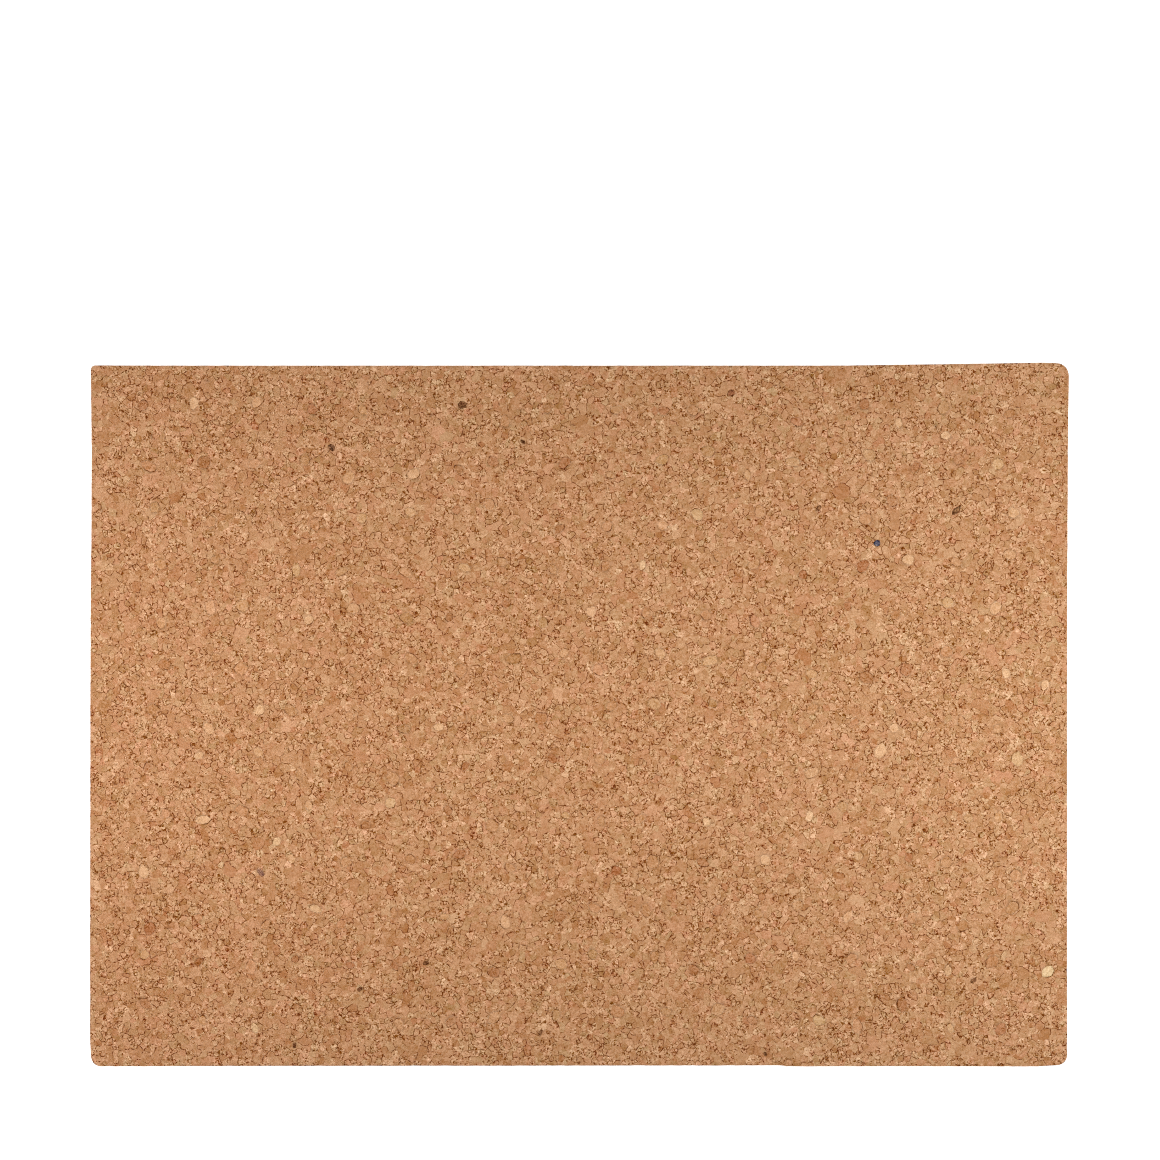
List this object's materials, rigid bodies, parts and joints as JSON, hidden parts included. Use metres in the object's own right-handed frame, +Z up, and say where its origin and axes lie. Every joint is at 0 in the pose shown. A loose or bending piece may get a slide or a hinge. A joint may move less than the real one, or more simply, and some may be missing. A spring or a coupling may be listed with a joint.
{
  "type": "desk mat",
  "caption": "Flat rectangular cork desk mat: a coarse-grain cork face with large granules set flush in it, on a thin fine-grain cork backing.",
  "frame": {"origin": "middle of the underside", "axes": "+X runs to the right along the long side, +Y to the back edge, +Z up out of the working face"},
  "size_m": [0.7, 0.502, 0.004],
  "materials": {
    "fine_cork": "matte",
    "glue_film": "satin",
    "coarse_cork": "matte",
    "bark": "matte",
    "pale_cork": "matte",
    "tan_cork": "matte",
    "russet_cork": "matte"
  },
  "bodies": {
    "root": {"grip_backing": "fine_cork", "bond_film": "glue_film", "cork_face_sheet": "coarse_cork", "bark_chips": "bark", "pale_granules": "pale_cork", "tan_granules": "tan_cork", "russet_granules": "russet_cork"}
  },
  "joints": []
}
